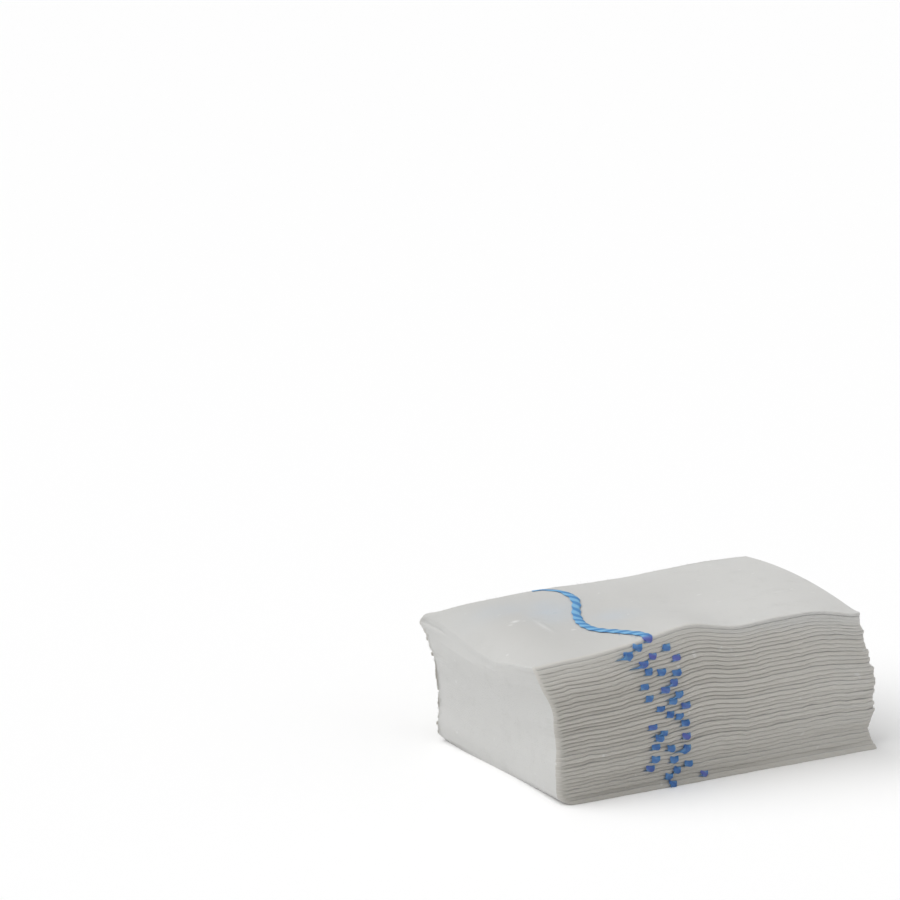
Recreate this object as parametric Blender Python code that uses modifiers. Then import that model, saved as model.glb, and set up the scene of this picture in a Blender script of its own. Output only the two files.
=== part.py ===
"""Hemostatic gauze: one long strip of nonwoven cloth, folded back and forth into a pad.

A blue tracer thread is bonded in a sine wave to the face of the strip that lies outside the front folds,
so it shows along the top layer and crosses each front fold.

Units are metres and +Z is up. The origin is the centre of the pad's underside. X runs across the strip's
width, Y along the folded layers, and the folds that the thread crosses are at -Y.
"""

import math
from typing import NamedTuple

import bmesh
import bpy
from mathutils import Matrix, Vector

# Strip
STRIP_WIDTH = 0.075
FOLD_LENGTH = 0.0514
CLOTH_THICKNESS = 0.00027
FRONT_FOLDS = 36
LAYERS = 2 * FRONT_FOLDS
TOP_LAYER = LAYERS - 1

# Pad
LAYER_GAP = 0.00016
PAD_HEIGHT = LAYERS * (CLOTH_THICKNESS + LAYER_GAP)
FOLD_FACETS = 3
FOLD_STAGGER = 0.0003
FOLD_STAGGER_STEP = math.radians(137.5)

# Tracer thread
THREAD_WIDTH = 0.0014
THREAD_THICKNESS = 0.0003
THREAD_CLEARANCE = 0.0002
THREAD_FROM_EDGE = 0.024
WAVE_HEIGHT = 0.0046
WAVE_LENGTH = 0.0587
WAVE_START = math.radians(-26)
THREAD_END_INSET = 0.0006
THREAD_FACETS = 36
THREAD_END_ANGLE = math.radians(-30)


class HeightRow(NamedTuple):
    """Height of the pad at one place across the strip, as shares of PAD_HEIGHT."""

    across: float
    front: float
    middle: float
    back: float


class SlipRow(NamedTuple):
    """How far the layers at one share of the height have turned and slipped over the foot."""

    height: float
    turn_degrees: float
    slip_x: float
    slip_y: float


HEIGHTS = (
    HeightRow(-0.50, 0.923, 0.815, 0.858),
    HeightRow(-0.40, 0.940, 0.925, 0.890),
    HeightRow(-0.14, 1.035, 0.982, 0.937),
    HeightRow(-0.03, 1.084, 1.000, 0.940),
    HeightRow(0.11, 1.032, 1.000, 0.950),
    HeightRow(0.25, 1.055, 1.036, 0.977),
    HeightRow(0.36, 1.061, 1.060, 0.994),
    HeightRow(0.50, 1.000, 1.053, 0.997),
)

# Slips along X are shares of STRIP_WIDTH, and along Y shares of FOLD_LENGTH.
SLIPS = (
    SlipRow(0.00, 0.0, 0.000, 0.000),
    SlipRow(0.12, 1.2, -0.009, 0.002),
    SlipRow(0.30, 0.5, -0.008, -0.004),
    SlipRow(0.50, -0.8, -0.016, -0.009),
    SlipRow(0.70, -0.5, -0.029, -0.002),
    SlipRow(0.85, -2.2, -0.044, 0.008),
    SlipRow(1.00, -6.6, -0.048, 0.003),
)


def between(rows, key, names):
    """Values of the named columns, read in a straight line between the two rows around key."""
    column = rows[0]._fields[0]
    places = [getattr(row, column) for row in rows]
    upper = next((i for i, place in enumerate(places) if place >= key), len(rows) - 1)
    upper = max(upper, 1)
    share = (key - places[upper - 1]) / (places[upper] - places[upper - 1])
    share = min(max(share, 0.0), 1.0)
    low, high = rows[upper - 1], rows[upper]
    return [getattr(low, name) + share * (getattr(high, name) - getattr(low, name)) for name in names]


def pad_height(across, along):
    """Height of the pad over a place given as shares of the width and of the fold length, -0.5 to 0.5.

    Between two rows and two columns of the table every layer is creased along the same diagonal, from the front
    left to the back right, so neighbouring layers stay parallel.
    """
    along = min(max(along + 0.5, 0.0), 1.0)
    column = HeightRow._fields.index("front" if along < 0.5 else "middle")
    depth = 2 * along - (column - 1)
    upper = next((i for i, row in enumerate(HEIGHTS) if row.across >= across), len(HEIGHTS) - 1)
    upper = max(upper, 1)
    left, right = HEIGHTS[upper - 1], HEIGHTS[upper]
    side = (across - left.across) / (right.across - left.across)
    near_left, far_left = left[column:column + 2]
    near_right, far_right = right[column:column + 2]
    if side > depth:
        share = near_left + side * (near_right - near_left) + depth * (far_right - near_right)
    else:
        share = near_left + depth * (far_left - near_left) + side * (far_right - far_left)
    return PAD_HEIGHT * share


def layer_pitch(across, along):
    """Distance from one layer's middle to the next one's."""
    return (pad_height(across, along) - CLOTH_THICKNESS) / TOP_LAYER


def place(across, y, level, rise=0.0):
    """Point of the pad: across as a share of the width, y in metres, level in layers counted from the lowest."""
    z = CLOTH_THICKNESS / 2 + level * layer_pitch(across, y / FOLD_LENGTH) + rise
    turn, slip_x, slip_y = between(SLIPS, level / TOP_LAYER, ("turn_degrees", "slip_x", "slip_y"))
    point = Matrix.Rotation(math.radians(turn), 3, "Z") @ Vector((across * STRIP_WIDTH, y, 0.0))
    return point + Vector((slip_x * STRIP_WIDTH, slip_y * FOLD_LENGTH, z))


def fold_reach():
    """Mean radius of a fold, at the middle of the cloth."""
    return (PAD_HEIGHT - CLOTH_THICKNESS) / TOP_LAYER / 2


def crease(layer):
    """Where the fold above a layer is centred along Y: front for even layers, back for odd ones."""
    side = -1 if layer % 2 == 0 else 1
    stagger = FOLD_STAGGER * math.sin(FOLD_STAGGER_STEP * (TOP_LAYER - 1 - layer))
    return side * (FOLD_LENGTH / 2 - fold_reach() + stagger)


def strip_stations():
    """The strip's path from its free end at the foot to the one at the top, as (y, level) pairs."""
    free_end = FOLD_LENGTH / 2
    stations = [(free_end, 0.0)]
    for layer in range(LAYERS):
        stations.append((0.0, layer))
        if layer < TOP_LAYER:
            stations += fold_stations(layer)
    stations.append((free_end, TOP_LAYER))
    return stations


def fold_stations(layer):
    """The half turn from a layer to the one above it, as (y, level) pairs."""
    centre = crease(layer)
    side = math.copysign(1, centre)
    angles = [math.pi * (step / FOLD_FACETS - 0.5) for step in range(FOLD_FACETS + 1)]
    return [
        (centre + side * fold_reach() * math.cos(angle), layer + 0.5 + 0.5 * math.sin(angle))
        for angle in angles
    ]


def thread_offset(y):
    """Where the thread's sine wave crosses a place along the top layer, measured along X from the middle."""
    wave = math.sin(2 * math.pi * y / WAVE_LENGTH + WAVE_START)
    return THREAD_FROM_EDGE - STRIP_WIDTH / 2 + WAVE_HEIGHT * wave


def thread_stations():
    """The thread's path from the back edge of the top layer to the underside of the first fold.

    Each station is (x, y, level, rise), with the rise from the middle of the cloth to the middle of the thread.
    """
    off = CLOTH_THICKNESS / 2 + THREAD_CLEARANCE + THREAD_THICKNESS / 2
    back = FOLD_LENGTH / 2 - THREAD_END_INSET
    front = crease(TOP_LAYER - 1)
    stations = []
    for step in range(THREAD_FACETS + 1):
        y = back + (front - back) * step / THREAD_FACETS
        stations.append((thread_offset(y), y, TOP_LAYER, off))
    for step in range(1, FOLD_FACETS + 1):
        angle = math.pi / 2 + (THREAD_END_ANGLE - math.pi / 2) * step / FOLD_FACETS
        x = thread_offset(front)
        radius = layer_pitch(x / STRIP_WIDTH, front / FOLD_LENGTH) / 2 + off
        stations.append((x, front - radius * math.cos(angle), TOP_LAYER - 0.5, radius * math.sin(angle)))
    return stations


def mapped_sheet(name, columns, rows, position, thickness, material):
    """A closed sheet: a flat grid whose points are moved to position(column, row), then given its thickness."""
    cloth = bmesh.new()
    bmesh.ops.create_grid(cloth, x_segments=columns, y_segments=rows, size=0.5)
    for vert in cloth.verts:
        column = round((vert.co.x + 0.5) * columns)
        row = round((vert.co.y + 0.5) * rows)
        vert.co = position(column, row)
    split_along_one_diagonal(cloth)
    mesh = bpy.data.meshes.new(name)
    cloth.to_mesh(mesh)
    cloth.free()
    mesh.materials.append(material)
    mesh.shade_smooth()
    sheet = bpy.data.objects.new(name, mesh)
    wall = sheet.modifiers.new("Thickness", "SOLIDIFY")
    wall.thickness = thickness
    wall.offset = 0.0
    wall.use_even_offset = True
    return sheet


def split_along_one_diagonal(cloth):
    """Cut each face in two from its corner nearest the front left to its corner nearest the back right."""
    for face in list(cloth.faces):
        corners = sorted(face.verts, key=lambda vert: vert.co.x)
        start = min(corners[:2], key=lambda vert: vert.co.y)
        end = max(corners[2:], key=lambda vert: vert.co.y)
        bmesh.ops.connect_verts(cloth, verts=[start, end])


def build_strip(material):
    """The gauze strip, folded back and forth from the foot to the top."""
    stations = strip_stations()

    def position(column, row):
        y, level = stations[row]
        return place(HEIGHTS[column].across, y, level)

    return mapped_sheet("gauze_strip", len(HEIGHTS) - 1, len(stations) - 1, position, CLOTH_THICKNESS, material)


def build_thread(material):
    """The flat tracer thread, along the top layer and over the first fold."""
    stations = thread_stations()

    def position(column, row):
        x, y, level, rise = stations[row]
        x += (column - 0.5) * THREAD_WIDTH
        return place(x / STRIP_WIDTH, y, level, rise)

    return mapped_sheet("tracer_thread", 1, len(stations) - 1, position, THREAD_THICKNESS, material)


def cloth_material(name, colour, roughness):
    """A matt fabric colour."""
    material = bpy.data.materials.new(name)
    material.use_nodes = True
    shader = material.node_tree.nodes["Principled BSDF"]
    shader.inputs["Base Color"].default_value = (*colour, 1.0)
    shader.inputs["Roughness"].default_value = roughness
    shader.inputs["Metallic"].default_value = 0.0
    return material


def clear_scene():
    """Take away whatever the scene holds."""
    for thing in list(bpy.data.objects):
        bpy.data.objects.remove(thing, do_unlink=True)


def main():
    """Build the pad in a collection of its own."""
    clear_scene()
    pad = bpy.data.collections.new("hemostatic_gauze")
    bpy.context.scene.collection.children.link(pad)
    white = cloth_material("white_gauze", (0.80, 0.80, 0.78), 0.9)
    blue = cloth_material("blue_thread", (0.08, 0.33, 0.72), 0.6)
    pad.objects.link(build_strip(white))
    pad.objects.link(build_thread(blue))


main()
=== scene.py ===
import logging
import math
from dataclasses import dataclass, field
from enum import Enum
from typing import NamedTuple

import bpy
import numpy as np
from mathutils import Matrix, Vector


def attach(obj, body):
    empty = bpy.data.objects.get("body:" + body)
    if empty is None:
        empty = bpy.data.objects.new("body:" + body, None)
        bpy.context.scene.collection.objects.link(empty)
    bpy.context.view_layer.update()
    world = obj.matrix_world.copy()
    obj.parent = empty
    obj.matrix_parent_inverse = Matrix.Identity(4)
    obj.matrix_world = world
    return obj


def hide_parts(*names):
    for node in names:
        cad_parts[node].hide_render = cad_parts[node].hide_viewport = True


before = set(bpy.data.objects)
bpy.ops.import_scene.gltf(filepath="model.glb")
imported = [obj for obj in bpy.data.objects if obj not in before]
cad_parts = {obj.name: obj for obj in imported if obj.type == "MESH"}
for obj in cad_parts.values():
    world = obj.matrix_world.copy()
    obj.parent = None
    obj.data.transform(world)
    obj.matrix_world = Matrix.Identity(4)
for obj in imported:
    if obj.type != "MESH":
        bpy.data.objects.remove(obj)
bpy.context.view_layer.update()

LOG = logging.getLogger("gauze_pad")
MM = 0.001
WHOLE_TURN = 2 * math.pi

Array = np.ndarray
Random = np.random.Generator
Piece = bpy.types.Object
Material = bpy.types.Material
Node = bpy.types.Node
Socket = bpy.types.NodeSocket
Input = Socket | float
Pair = tuple[float, float]
Triple = tuple[float, float, float]


def column(rows: tuple, name: str) -> Array:
    """One named column of a table."""
    return np.array([getattr(row, name) for row in rows])


def blend(low: float | Array, high: float | Array, share: float | Array) -> float | Array:
    """Go from one value to another by a share."""
    return low + (high - low) * share


def fall_off(*ways: tuple) -> Array:
    """Fade from 1 at a centre to 0, given the places, the centre and the reach along each direction."""
    return np.exp(-sum(((at - centre) / reach) ** 2 for at, centre, reach in ways))


def unit(vectors: Array) -> Array:
    """Scale vectors to a length of 1, and leave those without a length at 0."""
    return vectors / np.maximum(np.linalg.norm(vectors, axis=-1, keepdims=True), 1e-12)


def run_length(points: Array) -> Array:
    """Length of a line of points up to each of them."""
    return np.concatenate([[0.0], np.cumsum(np.linalg.norm(np.diff(points, axis=0), axis=1))])


def smooth_through(places: Array, values: Array, at: Array) -> Array:
    """Read a smooth curve that passes through a table's points.

    Args:
        places: Rising places of the table's rows.
        values: The value at each place.
        at: The places to read.

    Returns:
        The curve's value at each place asked for.
    """
    slopes = np.gradient(values, places)
    at = np.clip(at, places[0], places[-1])
    cell = np.clip(np.searchsorted(places, at) - 1, 0, len(places) - 2)
    step = places[cell + 1] - places[cell]
    t = (at - places[cell]) / step
    start = (2 * t**3 - 3 * t**2 + 1) * values[cell] + (t**3 - 2 * t**2 + t) * step * slopes[cell]
    end = (3 * t**2 - 2 * t**3) * values[cell + 1] + (t**3 - t**2) * step * slopes[cell + 1]
    return start + end


def ease(low: float, high: float, at: float | Array) -> float | Array:
    """Rise smoothly from 0 where the rise starts to 1 where it ends."""
    t = np.clip((at - low) / (high - low), 0.0, 1.0)
    return t * t * (3 - 2 * t)


def ripple(at: Array, waves: tuple[float, ...], rng: Random) -> Array:
    """Sum a few sine waves of random phase and weight into a soft irregular line.

    Args:
        at: Places along the line, as shares of its length.
        waves: How many times each wave repeats along the line.
        rng: Source of the phases and weights.

    Returns:
        Heights of the line, mostly within -1 to 1.
    """
    total = np.zeros_like(at)
    for count in waves:
        weight = rng.uniform(0.4, 1.0)
        total = total + weight * np.sin(WHOLE_TURN * (count * at + rng.uniform()))
    return total / math.sqrt(len(waves))


def read_rows(rows: tuple, key: str, names: tuple[str, ...], at: Array) -> list[Array]:
    """Read columns of a table smoothly at places between its rows.

    Args:
        rows: The table.
        key: Name of the column that holds the rows' places.
        names: Names of the columns to read.
        at: The places to read.

    Returns:
        The values of each column.
    """
    places = column(rows, key)
    return [smooth_through(places, column(rows, name), at) for name in names]


@dataclass(frozen=True)
class Ramp:
    """A factor that goes smoothly from 1 at its start to another value at its end."""

    start: float
    end: float
    value: float

    def at(self, place: float | Array) -> float | Array:
        """The factor at a place."""
        return blend(1.0, self.value, ease(self.start, self.end, place))


class FoldSide(Enum):
    """The side of the pad that a fold lies on, with its direction along Y."""

    FRONT = -1
    BACK = 1


@dataclass(frozen=True)
class HeightRow:
    """Height of the pad at one place across it, as shares of its reference height."""

    across: float
    front: float
    middle: float
    back: float


@dataclass(frozen=True)
class SlipRow:
    """Turn and slip of the layers at one share of the height, as degrees and shares of width and length."""

    height: float
    turn: float
    slip_x: float
    slip_y: float


@dataclass(frozen=True)
class EdgeRow:
    """How many millimetres a cut edge stands out from the straight pad, at one share of the height."""

    height: float
    out: float


@dataclass(frozen=True)
class Dent:
    """A soft hollow or bump in the pad's top, as shares of its width, fold length and height."""

    across: float
    along: float
    reach_across: float
    reach_along: float
    rise: float

    def rise_at(self, across: Array, along: Array) -> Array:
        """Share of the height that the dent adds at each place."""
        ways = (across, self.across, self.reach_across), (along, self.along, self.reach_along)
        return self.rise * fall_off(*ways)


@dataclass(frozen=True)
class Flare:
    """A place where a few layers stick out of the pad's side or stay back, by shifts in millimetres."""

    height: float
    reach_height: float
    across: float
    reach_across: float
    along: float
    reach_along: float
    shift_x: float
    shift_y: float

    def shift_at(self, height: Array, across: Array, along: Array) -> tuple[Array, Array]:
        """How far points move along X and Y.

        Args:
            height: Shares of the pad's height.
            across: Shares of its width.
            along: Shares of its fold length.

        Returns:
            The shifts in metres.
        """
        ways = (height, self.height, self.reach_height), (across, self.across, self.reach_across)
        share = fall_off(*ways, (along, self.along, self.reach_along))
        return share * self.shift_x * MM, share * self.shift_y * MM


@dataclass
class PadForm:
    """The folded pad's outer form: how high it is, and how its layers have slipped over each other."""

    width: float = 0.075
    length: float = 0.0514
    height: float = 0.03096
    heights: tuple[HeightRow, ...] = (
        HeightRow(-0.50, 0.923, 0.815, 0.858),
        HeightRow(-0.40, 0.940, 0.925, 0.890),
        HeightRow(-0.27, 0.974, 0.955, 0.916),
        HeightRow(-0.14, 1.035, 0.982, 0.937),
        HeightRow(-0.03, 1.084, 1.000, 0.940),
        HeightRow(0.11, 1.032, 1.000, 0.950),
        HeightRow(0.25, 1.055, 1.036, 0.977),
        HeightRow(0.36, 1.061, 1.060, 0.994),
        HeightRow(0.50, 1.000, 1.053, 0.997),
    )
    slips: tuple[SlipRow, ...] = (
        SlipRow(0.00, 0.0, 0.000, 0.000),
        SlipRow(0.12, 1.2, -0.009, 0.002),
        SlipRow(0.30, 0.5, -0.008, -0.004),
        SlipRow(0.50, -0.8, -0.016, -0.009),
        SlipRow(0.70, -0.5, -0.029, -0.002),
        SlipRow(0.85, -2.2, -0.044, 0.008),
        SlipRow(1.00, -6.6, -0.048, 0.003),
    )
    right_edge: tuple[EdgeRow, ...] = (
        EdgeRow(0.04, 0.4), EdgeRow(0.10, -0.1), EdgeRow(0.14, -0.2), EdgeRow(0.19, 0.2),
        EdgeRow(0.26, 0.9), EdgeRow(0.34, 0.3), EdgeRow(0.40, 0.9), EdgeRow(0.49, 1.2),
        EdgeRow(0.57, 1.1), EdgeRow(0.60, 0.3), EdgeRow(0.66, 0.6), EdgeRow(0.75, 0.0),
        EdgeRow(0.79, 0.4), EdgeRow(0.84, 0.8), EdgeRow(0.90, 0.1), EdgeRow(1.00, 0.0),
    )
    right_reach: float = 0.35
    right_least: float = 0.30
    front_left_edge: tuple[EdgeRow, ...] = (
        EdgeRow(0.00, 0.45), EdgeRow(0.02, 1.4), EdgeRow(0.05, 2.2), EdgeRow(0.10, 2.6),
        EdgeRow(0.23, 2.8), EdgeRow(0.32, 2.5), EdgeRow(0.41, 1.6), EdgeRow(0.50, 1.2),
        EdgeRow(0.59, 1.4), EdgeRow(0.76, 0.9), EdgeRow(0.85, 0.8), EdgeRow(0.90, 0.4), EdgeRow(0.95, 0.0),
    )
    front_left_reach: Pair = (0.15, 0.30)
    top_left_edge: tuple[EdgeRow, ...] = (
        EdgeRow(0.95, 0.0), EdgeRow(0.97, 0.10), EdgeRow(0.985, 0.25), EdgeRow(1.00, 0.50),
    )
    top_left_reach: float = 3.0 * MM
    dents: tuple[Dent, ...] = (
        Dent(-0.52, -0.10, 0.050, 0.11, -0.036),
        Dent(-0.52, 0.06, 0.050, 0.07, -0.016),
        Dent(0.51, -0.50, 0.020, 0.05, 0.014),
    )
    flares: tuple[Flare, ...] = (
        Flare(0.960, 0.060, -0.50, 0.020, 0.50, 0.070, -1.7, 0.4),
        Flare(0.660, 0.120, -0.50, 0.020, 0.50, 0.090, 0.3, 0.0),
        Flare(0.000, 0.025, 0.00, 9.00, -0.50, 0.100, 0.0, -0.9),
        Flare(0.000, 0.030, -0.50, 0.030, 0.50, 0.045, 0.8, -0.6),
    )

    def height_at(self, across: Array, along: Array) -> Array:
        """Height of the pad's top.

        Args:
            across: Shares of the width, -0.5 to 0.5.
            along: Shares of the fold length, -0.5 in front to 0.5 at the back.

        Returns:
            Heights in metres.
        """
        front, middle, back = read_rows(self.heights, "across", ("front", "middle", "back"), across)
        v = np.clip(along, -0.5, 0.5)
        share = front * 2 * v * (v - 0.5) + middle * (1 - 4 * v * v) + back * 2 * v * (v + 0.5)
        return self.height * (share + sum(dent.rise_at(across, v) for dent in self.dents))

    def place(self, across: Array, y: Array, z: Array) -> Array:
        """Move points of the straight stack into their places in the leaning pad.

        Args:
            across: Shares of the width.
            y: Metres along the fold length.
            z: Metres above the foot.

        Returns:
            Points, with X, Y and Z in the last axis.
        """
        share = np.clip(z / self.height_at(across, y / self.length), 0.0, 1.0)
        turn, slip_x, slip_y = read_rows(self.slips, "height", ("turn", "slip_x", "slip_y"), share)
        right, front_left, top_left = (
            MM * np.interp(share, column(rows, "height"), column(rows, "out"))
            for rows in (self.right_edge, self.front_left_edge, self.top_left_edge)
        )
        reach_across, reach_along = self.front_left_reach
        from_left, from_front = across + 0.5, y / self.length + 0.5
        near = fall_off((from_left, 0.0, reach_across), (from_front, 0.0, reach_along))
        by_front = blend(self.right_least, 1.0, fall_off((from_front, 0.0, self.right_reach)))
        x = across * self.width + right * by_front * np.clip(from_left, 0.0, 1.0) ** 2 - front_left * near
        x = x + top_left * np.exp(-from_left * self.width / self.top_left_reach)
        for flare in self.flares:
            shift_x, shift_y = flare.shift_at(share, across, y / self.length)
            x, y = x + shift_x, y + shift_y
        cos, sin = np.cos(np.radians(turn)), np.sin(np.radians(turn))
        placed_x = x * cos - y * sin + slip_x * self.width
        placed_y = x * sin + y * cos + slip_y * self.length
        return np.stack([placed_x, placed_y, z], axis=-1)


def mesh_object(name: str, points: Array, faces: list[Array], uvs: Array | None = None) -> Piece:
    """Make a mesh object at the origin, with its faces pointing outwards.

    Args:
        name: Name of the object and of its mesh.
        points: Points in metres, one row each.
        faces: Arrays of four corner numbers, each array with any number of rows.
        uvs: A pair of pattern coordinates for each point, or None.

    Returns:
        The new object, linked to the scene.
    """
    quads = np.concatenate(faces)
    first, second, third, fourth = (points[quads[:, corner]] for corner in range(4))
    if np.sum(first * (np.cross(second, third) + np.cross(third, fourth))) < 0:
        quads = quads[:, ::-1]
    mesh = bpy.data.meshes.new(name)
    mesh.vertices.add(len(points))
    mesh.vertices.foreach_set("co", points.astype(np.float32).ravel())
    mesh.loops.add(quads.size)
    mesh.loops.foreach_set("vertex_index", quads.astype(np.int32).ravel())
    mesh.polygons.add(len(quads))
    mesh.polygons.foreach_set("loop_start", np.arange(0, quads.size, 4, dtype=np.int32))
    mesh.update(calc_edges=True)
    if uvs is not None:
        layer = mesh.uv_layers.new(name="strip")
        layer.data.foreach_set("uv", uvs[quads.ravel()].astype(np.float32).ravel())
    mesh.validate()
    piece = bpy.data.objects.new(name, mesh)
    bpy.context.scene.collection.objects.link(piece)
    return piece


def grid_faces(first: int, rows: int, columns: int, closed: bool = False) -> Array:
    """Corner numbers of the quads between the rows and columns of a grid of points.

    Args:
        first: Number of the grid's first point.
        rows: How many rows the grid has.
        columns: How many points each row has.
        closed: Whether each row joins up with its own start.

    Returns:
        An array of four corner numbers for each quad.
    """
    across = columns if closed else columns - 1
    row, place = np.meshgrid(np.arange(rows - 1), np.arange(across), indexing="ij")
    beside = (place + 1) % columns
    low, high = first + row * columns, first + (row + 1) * columns
    return np.stack([low + place, low + beside, high + beside, high + place], axis=-1).reshape(-1, 4)


def write_attribute(piece: Piece, name: str, values: Array) -> None:
    """Store a named value for each point of a piece, for its finish."""
    layer = piece.data.attributes.new(name, "FLOAT", "POINT")
    layer.data.foreach_set("value", values.astype(np.float32).ravel())


def select_only(piece: Piece) -> None:
    """Select one piece and nothing else.

    Args:
        piece: The piece.
    """
    bpy.ops.object.select_all(action="DESELECT")
    piece.select_set(True)
    bpy.context.view_layer.objects.active = piece


def smooth_finish(piece: Piece, material: Material, sharp_from: float) -> None:
    """Give a piece its finish, and shade it smooth but for its sharp edges.

    Args:
        piece: The piece.
        material: Its finish.
        sharp_from: Angle in degrees from which an edge counts as sharp.
    """
    piece.data.materials.append(material)
    select_only(piece)
    bpy.ops.object.shade_smooth_by_angle(angle=math.radians(sharp_from))


@dataclass
class GauzeStrip:
    """The white strip: one closed sheet of cloth, folded back and forth from the foot to the top."""

    form: PadForm
    flat_length: float = 3.70
    front_folds: int = 36
    gap: float = 0.040 * MM
    edge_gap: float = 0.014 * MM
    edge_depth: float = 2.0 * MM
    thickness_spread: float = 0.25
    broad_share: float = 0.40
    broad_waves: tuple[float, ...] = (1, 2, 3.3, 5.1)
    fine_share: float = 0.30
    fine_waves: tuple[float, ...] = (8.5, 11.7, 15.4, 20.3)
    whole_share: float = 0.45
    fold_reach: float = 0.31 * MM
    fold_reach_spread: float = 0.16
    fluffed_reach: float = 0.12
    inner_reach: float = 0.06
    right_reach: Ramp = Ramp(-0.1, 0.5, 0.52)
    foot_reach: Ramp = Ramp(0.6, 0.0, 0.55)
    shallow_folds: int = 6
    fold_squareness: float = 2.05
    top_fold_reach: float = 0.70 * MM
    top_fold_under: float = 0.12
    band_start: Pair = (0.0 * MM, 0.5 * MM)
    band_width: Pair = (2.2 * MM, 0.8 * MM)
    band_spread: Pair = (0.8, 1.1)
    fold_spread: float = 0.20 * MM
    fold_wave: float = 0.14 * MM
    fold_waves: tuple[float, ...] = (1.5, 3, 6.5, 12, 19)
    fluffed_spread: float = 0.2
    smooth_band: Pair = (0.2 * MM, 2.2 * MM)
    corner_radius: Pair = (1.5 * MM, 0.7 * MM)
    other_corner_radius: float = 0.4 * MM
    top_rounding: float = 0.25 * MM
    top_rounding_folds: float = 1.6
    fray: Pair = (-0.05 * MM, 0.50 * MM)
    right_fray: float = 0.6
    fray_depth: float = 0.35 * MM
    end_wave: float = 0.14 * MM
    end_waves: tuple[float, ...] = (2.7, 7, 13, 21, 33)
    # Painted shade on the folds' noses: strongest at the left end and fading to the right, stronger near the
    # foot and fading out near the top; tone_spread varies it at random between folds.
    painted_shade_across: Ramp = Ramp(-0.5, 0.45, 0.12)
    painted_shade_at_foot: Ramp = Ramp(0.2, 0.0, 1.8)
    painted_shade_at_top: Ramp = Ramp(0.76, 0.98, 0.15)
    tone_spread: float = 0.30
    columns: int = 46
    edge_columns: tuple[float, ...] = (0.25 * MM, 0.6 * MM, 1.0 * MM, 1.5 * MM, 2.2 * MM)
    panel_steps: int = 5
    top_panel_steps: tuple[int, ...] = (32, 24, 16)
    nose_steps: int = 6
    sharp_from: float = 62.0
    seed: int = 36
    panel_start: list[int] = field(default_factory=list)
    fold_start: list[int] = field(default_factory=list)
    object: Piece | None = None

    def __post_init__(self) -> None:
        """Work out the columns and the irregular line of every layer and fold."""
        self.layers = 2 * self.front_folds
        width = self.form.width
        edges = np.array(self.edge_columns) / width
        inner = np.linspace(edges[-1] - 0.5, 0.5 - edges[-1], self.columns)
        self.across = np.concatenate([[-0.5], -0.5 + edges[:-1], inner, 0.5 - edges[:-1][::-1], [0.5]])
        self.from_left = (0.5 + self.across) * width
        from_edge = (0.5 - np.abs(self.across)) * width
        self.half_gap = blend(self.edge_gap, self.gap, ease(0.0, self.edge_depth, from_edge)) / 2
        rng = np.random.default_rng(self.seed)
        self.shares = {side: self.level_shares(rng) for side in FoldSide}
        self.creases = {side: self.crease_lines(side, rng) for side in FoldSide}
        self.reach = {side: self.fold_reaches(rng) for side in FoldSide}
        self.frays = {side: self.fray_lines(side, rng) for side in FoldSide}
        self.end_line = self.end_wave * ripple(self.across, self.end_waves, rng)

    def level_shares(self, rng: Random) -> Array:
        """Share of the height at each boundary between layers, for each column.

        Args:
            rng: Source of the irregular thickness.

        Returns:
            Rows from 0 at the foot to 1 at the top.
        """
        growth = []
        for _ in range(self.layers):
            broad = self.broad_share * ripple(self.across, self.broad_waves, rng)
            fine = self.fine_share * ripple(self.across, self.fine_waves, rng)
            whole = self.whole_share * rng.uniform(-1, 1)
            growth.append(1 + self.thickness_spread * (broad + fine + whole))
        levels = np.concatenate([np.zeros((1, len(self.across))), np.cumsum(growth, axis=0)])
        return levels / levels[-1]

    def crease_lines(self, side: FoldSide, rng: Random) -> Array:
        """How far each fold stands out beyond the pad's mean side, for each column.

        Near the left cut edge the folds have fluffed into one face, so they differ less there.

        Args:
            side: Side of the pad that the folds are on.
            rng: Source of the stagger and waves.

        Returns:
            A row of distances in metres for each fold.
        """
        lines = []
        for _ in range(self.front_folds):
            stagger = self.fold_spread * rng.uniform(-1, 1)
            lines.append(stagger + self.fold_wave * ripple(self.across, self.fold_waves, rng))
        radii = np.full(self.front_folds, self.other_corner_radius)
        if side is FoldSide.FRONT:
            folds = np.arange(self.front_folds)
            radii = blend(*self.corner_radius, (folds + 0.5) / self.front_folds)
            lines[-1] = lines[-2]
            from_top = (self.front_folds - 1 - folds)[:, None]
            lines = lines - self.top_rounding * np.exp(-from_top / self.top_rounding_folds)
        left = np.array([self.rounding(self.from_left, radius) for radius in radii])
        right = self.rounding(self.form.width - self.from_left, self.other_corner_radius)
        band = ease(*self.smooth_band, self.from_left)
        return np.array(lines) * blend(self.fluffed_spread, 1.0, band) - left - right

    @staticmethod
    def rounding(from_edge: Array, radius: float) -> Array:
        """How far a rounded corner stays back from the square one, by distance from its cut edge."""
        inside = np.clip(1 - from_edge / radius, 0.0, 1.0)
        return radius * (1 - np.sqrt(1 - inside**2))

    def fold_reaches(self, rng: Random) -> Array:
        """How far each fold's round nose stands out: least by the left edge, the top, the foot and the right.

        Args:
            rng: Source of the differences between folds.

        Returns:
            A row of distances in metres for each fold, from the foot up.
        """
        to_right = self.right_reach.at(self.across)
        rows = []
        for fold in range(self.front_folds):
            up = (fold + 0.5) / self.front_folds
            from_top = self.front_folds - 1 - fold
            start = rng.uniform(*self.band_start)
            end = start + blend(*self.band_width, up) * rng.uniform(*self.band_spread)
            size = self.foot_reach.at(up) * min(1.0, (from_top + 1.0) / (self.shallow_folds + 1.0))
            size *= 1 + self.fold_reach_spread * rng.uniform(-1, 1)
            reach = self.fold_reach * size * to_right if from_top else self.top_fold_reach
            rows.append(reach * blend(self.fluffed_reach, 1.0, ease(start, end, self.from_left)))
        return np.array(rows)

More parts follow.
